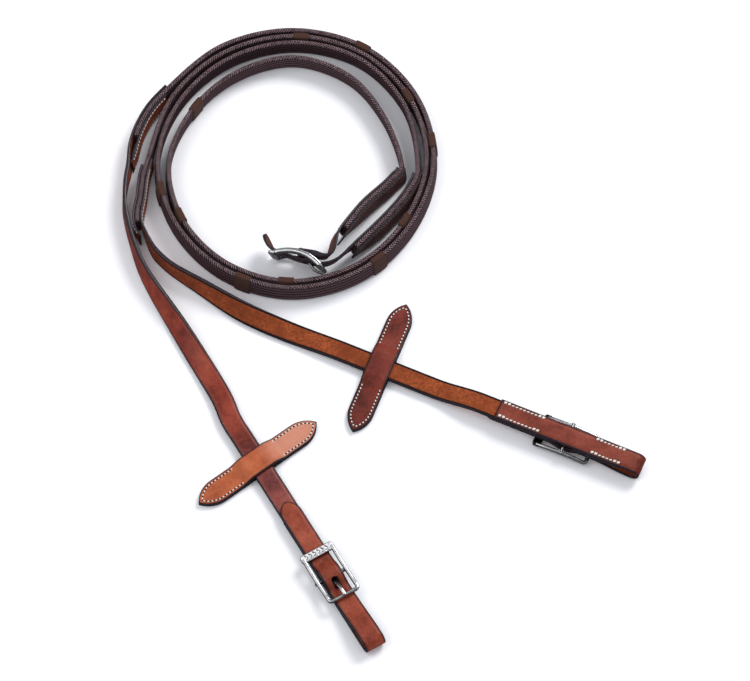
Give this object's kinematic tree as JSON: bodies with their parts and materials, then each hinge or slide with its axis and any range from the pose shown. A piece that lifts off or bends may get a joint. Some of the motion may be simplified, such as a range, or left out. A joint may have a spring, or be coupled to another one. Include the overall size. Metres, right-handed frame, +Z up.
{
  "type": "leather riding reins",
  "caption": "Pair of leather and ribbed web riding reins laid down as a coil, with buckled bit ends, sliding leather rein stops, sewn hand stops and a buckled hand end.",
  "frame": {"origin": "middle of the outline on the floor, under the laid down reins", "axes": "+X to the right, +Y from the bit ends towards the coil, +Z up from the floor"},
  "size_m": [0.3878, 0.514, 0.0296],
  "materials": {
    "web": "ribbed knitted web, matte",
    "hand_stop_tape": "sewn tape, matte",
    "bridle_leather": "polished red-brown leather with inked edges",
    "light_leather": "polished orange-brown leather with inked edges",
    "strap_flesh_side": "tan flesh side, matte",
    "dark_leather": "dark brown leather, satin",
    "steel": "polished stainless steel",
    "white_thread": "waxed thread",
    "brown_thread": "waxed thread"
  },
  "bodies": {
    "reins": {"left_web": "web", "right_web": "web", "left_hand_stops": "hand_stop_tape", "right_hand_stops": "hand_stop_tape", "left_rein_strap": "bridle_leather", "right_rein_strap": "strap_flesh_side", "left_splice_cover": "bridle_leather", "right_splice_cover": "bridle_leather", "left_splice_stitching": "white_thread", "right_splice_stitching": "white_thread", "left_bit_billet": "bridle_leather", "right_bit_billet": "bridle_leather", "left_bit_buckle": "steel", "right_bit_buckle": "steel", "left_bit_stitching": "white_thread", "right_bit_stitching": "white_thread", "hand_billet": "dark_leather", "hand_billet_cover": "dark_leather", "hand_billet_stitching": "brown_thread", "hand_chape": "dark_leather", "hand_chape_cover": "dark_leather", "hand_chape_stitching": "brown_thread", "hand_buckle": "steel"},
    "left_tongue": {"left_bit_tongue": "steel"},
    "right_tongue": {"right_bit_tongue": "steel"},
    "hand_tongue": {"hand_tongue": "steel"},
    "left_stop": {"left_stop_base": "bridle_leather", "left_stop_top": "light_leather", "left_stop_stitching": "white_thread"},
    "right_stop": {"right_stop_base": "bridle_leather", "right_stop_top": "bridle_leather", "right_stop_stitching": "white_thread"}
  },
  "joints": [
    {"name": "left_tongue_hinge", "type": "hinge", "parent": "reins", "child": "left_tongue", "pos_m": [-0.03547, -0.19788, 0.005], "axis": [-0.8616, -0.5075, 0], "range_deg": [0, 8]},
    {"name": "right_tongue_hinge", "type": "hinge", "parent": "reins", "child": "right_tongue", "pos_m": [0.13632, -0.08938, 0.00905], "axis": [0.4051, 0.9143, 0], "range_deg": [0, 8]},
    {"name": "hand_tongue_hinge", "type": "hinge", "parent": "reins", "child": "hand_tongue", "pos_m": [-0.0585, 0.0595, 0.0159], "axis": [0.1057, 0.3253, -0.9397], "range_deg": [0, 8]},
    {"name": "left_stop_slide", "type": "slide", "parent": "reins", "child": "left_stop", "axis": [-0.5075, 0.8616, 0], "range_m": [-0.024, 0.02]},
    {"name": "right_stop_slide", "type": "slide", "parent": "reins", "child": "right_stop", "axis": [-0.9143, 0.4051, 0], "range_m": [-0.03, 0.018]}
  ]
}
